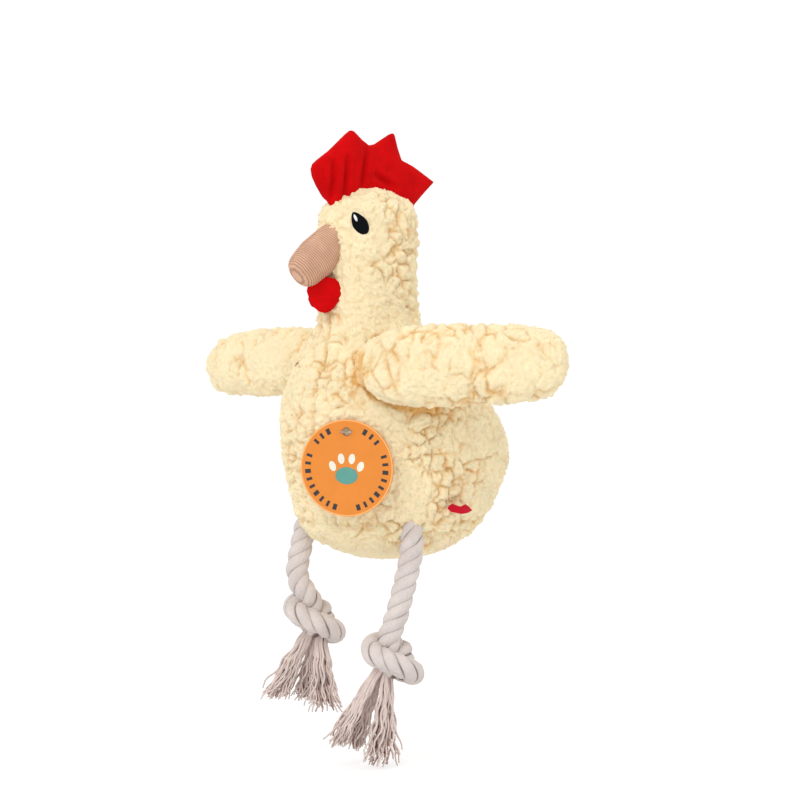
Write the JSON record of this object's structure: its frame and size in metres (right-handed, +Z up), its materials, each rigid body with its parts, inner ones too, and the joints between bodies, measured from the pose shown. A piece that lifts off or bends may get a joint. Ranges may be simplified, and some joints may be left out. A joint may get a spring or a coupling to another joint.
{
  "type": "plush chicken dog toy",
  "caption": "Soft stuffed hen toy of cream sherpa fleece, with a red comb and wattle, ribbed beak, spread wings, a belly squeaker, a card tag and knotted rope legs that end in tassels.",
  "frame": {"origin": "centre of the footprint of the whole toy, on the surface that the longer tassel reaches", "axes": "+Z up along the body, -Y the way the belly faces, +X to the hen's own left"},
  "size_m": [0.2368, 0.1264, 0.2965],
  "materials": {
    "fleece": "sherpa fleece, long soft pile",
    "velour": "short-pile red velour",
    "ribbed_cloth": "fine ribbed tan cloth",
    "stuffing": "loose polyester fibre",
    "black_thread": "satin-stitch embroidery",
    "white_thread": "satin-stitch embroidery",
    "cotton_rope": "twisted three-strand cotton, matte",
    "card": "printed card, satin",
    "clear_plastic": "clear, glossy",
    "ribbon": "woven satin ribbon",
    "squeaker_plastic": "soft translucent plastic"
  },
  "bodies": {
    "body": {"body_panel_left": "fleece", "body_panel_right": "fleece", "base_gusset": "fleece", "body_fill": "stuffing", "head_fill": "stuffing", "leg_left_anchor": "cotton_rope", "leg_right_anchor": "cotton_rope", "squeaker_bulb": "squeaker_plastic", "squeaker_reed_tube": "squeaker_plastic", "squeaker_reed": "squeaker_plastic", "comb_left_panel": "velour", "comb_right_panel": "velour", "comb_padding": "stuffing", "beak_cover": "ribbed_cloth", "beak_fill": "stuffing", "eye_left": "black_thread", "eye_left_glint": "white_thread", "eye_right": "black_thread", "eye_right_glint": "white_thread", "tag_pin": "clear_plastic", "side_label": "ribbon"},
    "wing_left": {"wing_left_upper_panel": "fleece", "wing_left_lower_panel": "fleece", "wing_left_fill": "stuffing"},
    "wing_right": {"wing_right_upper_panel": "fleece", "wing_right_lower_panel": "fleece", "wing_right_fill": "stuffing"},
    "leg_left": {"leg_left_rope": "cotton_rope", "leg_left_knot": "cotton_rope"},
    "leg_right": {"leg_right_rope": "cotton_rope", "leg_right_knot": "cotton_rope"},
    "tassel_left": {"leg_left_tassel": "cotton_rope"},
    "tassel_right": {"leg_right_tassel": "cotton_rope"},
    "wattle": {"wattle_left_lobe": "velour", "wattle_right_lobe": "velour"},
    "hang_tag": {"hang_tag": "card"}
  },
  "joints": [
    {"name": "wing_left_flap", "type": "hinge", "parent": "body", "child": "wing_left", "pos_m": [0.04037, -0.04574, 0.1875], "axis": [0.5, -0.866, 0], "range_deg": [-8, 60], "stiffness_Nm_per_rad": 0.12, "springref_deg": 2.29},
    {"name": "wing_right_flap", "type": "hinge", "parent": "body", "child": "wing_right", "pos_m": [-0.03223, -0.01174, 0.1885], "axis": [0.2419, 0.9703, 0], "range_deg": [-8, 60], "stiffness_Nm_per_rad": 0.12, "springref_deg": 2.29},
    {"name": "leg_left_swing", "type": "hinge", "parent": "body", "child": "leg_left", "pos_m": [0.03837, -0.02394, 0.111], "axis": [1, 0, 0], "range_deg": [-60, 35], "stiffness_Nm_per_rad": 0.02},
    {"name": "leg_right_swing", "type": "hinge", "parent": "body", "child": "leg_right", "pos_m": [-0.02883, -0.02394, 0.111], "axis": [1, 0, 0], "range_deg": [-60, 35], "stiffness_Nm_per_rad": 0.02},
    {"name": "tassel_left_swing", "type": "hinge", "parent": "leg_left", "child": "tassel_left", "pos_m": [0.03297, -0.03154, 0.05], "axis": [1, 0, 0], "range_deg": [-35, 35], "stiffness_Nm_per_rad": 0.004},
    {"name": "tassel_right_swing", "type": "hinge", "parent": "leg_right", "child": "tassel_right", "pos_m": [-0.02483, -0.02134, 0.0634], "axis": [1, 0, 0], "range_deg": [-35, 35], "stiffness_Nm_per_rad": 0.004},
    {"name": "wattle_swing", "type": "hinge", "parent": "body", "child": "wattle", "pos_m": [-0.00309, -0.04353, 0.226], "axis": [0.2756, 0.9613, 0], "range_deg": [-20, 20], "stiffness_Nm_per_rad": 0.0008},
    {"name": "hang_tag_swing", "type": "hinge", "parent": "body", "child": "hang_tag", "pos_m": [0.0242, -0.05385, 0.1573], "axis": [-0.3827, 0.9239, 0], "range_deg": [-35, 35]}
  ]
}
